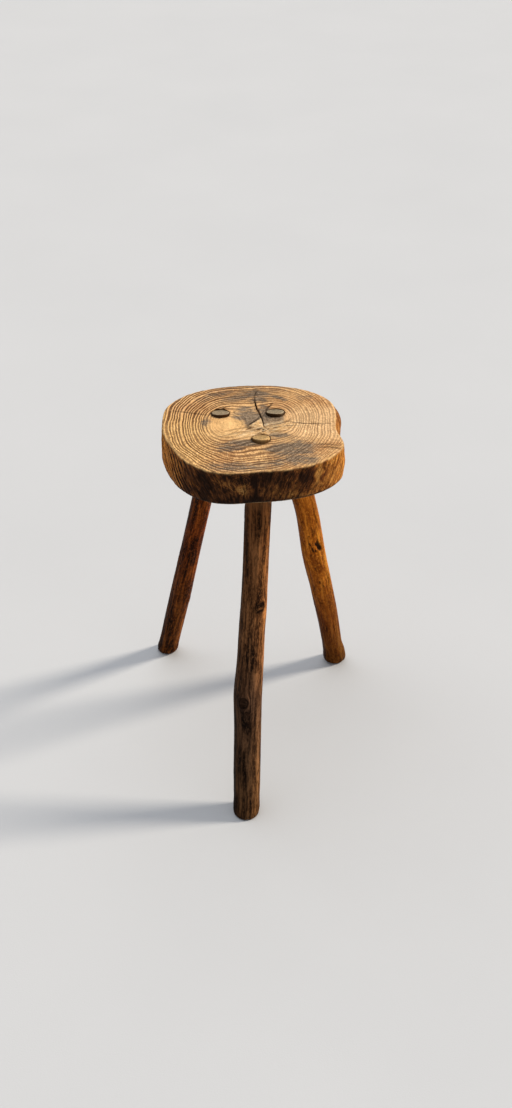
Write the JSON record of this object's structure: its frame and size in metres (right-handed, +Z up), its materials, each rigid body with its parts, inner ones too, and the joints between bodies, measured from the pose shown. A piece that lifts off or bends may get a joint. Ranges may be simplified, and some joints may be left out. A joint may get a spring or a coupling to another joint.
{
  "type": "milking stool",
  "caption": "Rustic milking stool: a thick end-grain log slab seat on splayed round branch legs, their whittled tenons driven through raked bores and standing proud of the seat.",
  "frame": {"origin": "on the floor under the middle of the stool's bounding box", "axes": "+Z up from the floor, +Y towards the pair of rear legs, -Y towards the lone front leg, +X to the right when seen from the front leg"},
  "size_m": [0.2918, 0.397, 0.485],
  "materials": {
    "seat_wood": "old oiled end grain, golden with dark growth rings and grey weather stains, dark brown worn bark side",
    "front_leg_wood": "hand-worn dark brown branch wood, satin, with knots and long grain",
    "left_leg_wood": "hand-worn reddish brown branch wood, satin, with dark long streaks",
    "right_leg_wood": "hand-worn golden brown branch wood, satin, darker at the foot"
  },
  "bodies": {
    "root": {"seat_slab": "seat_wood", "leg_front": "front_leg_wood", "leg_rear_left": "left_leg_wood", "leg_rear_right": "right_leg_wood"}
  },
  "joints": []
}
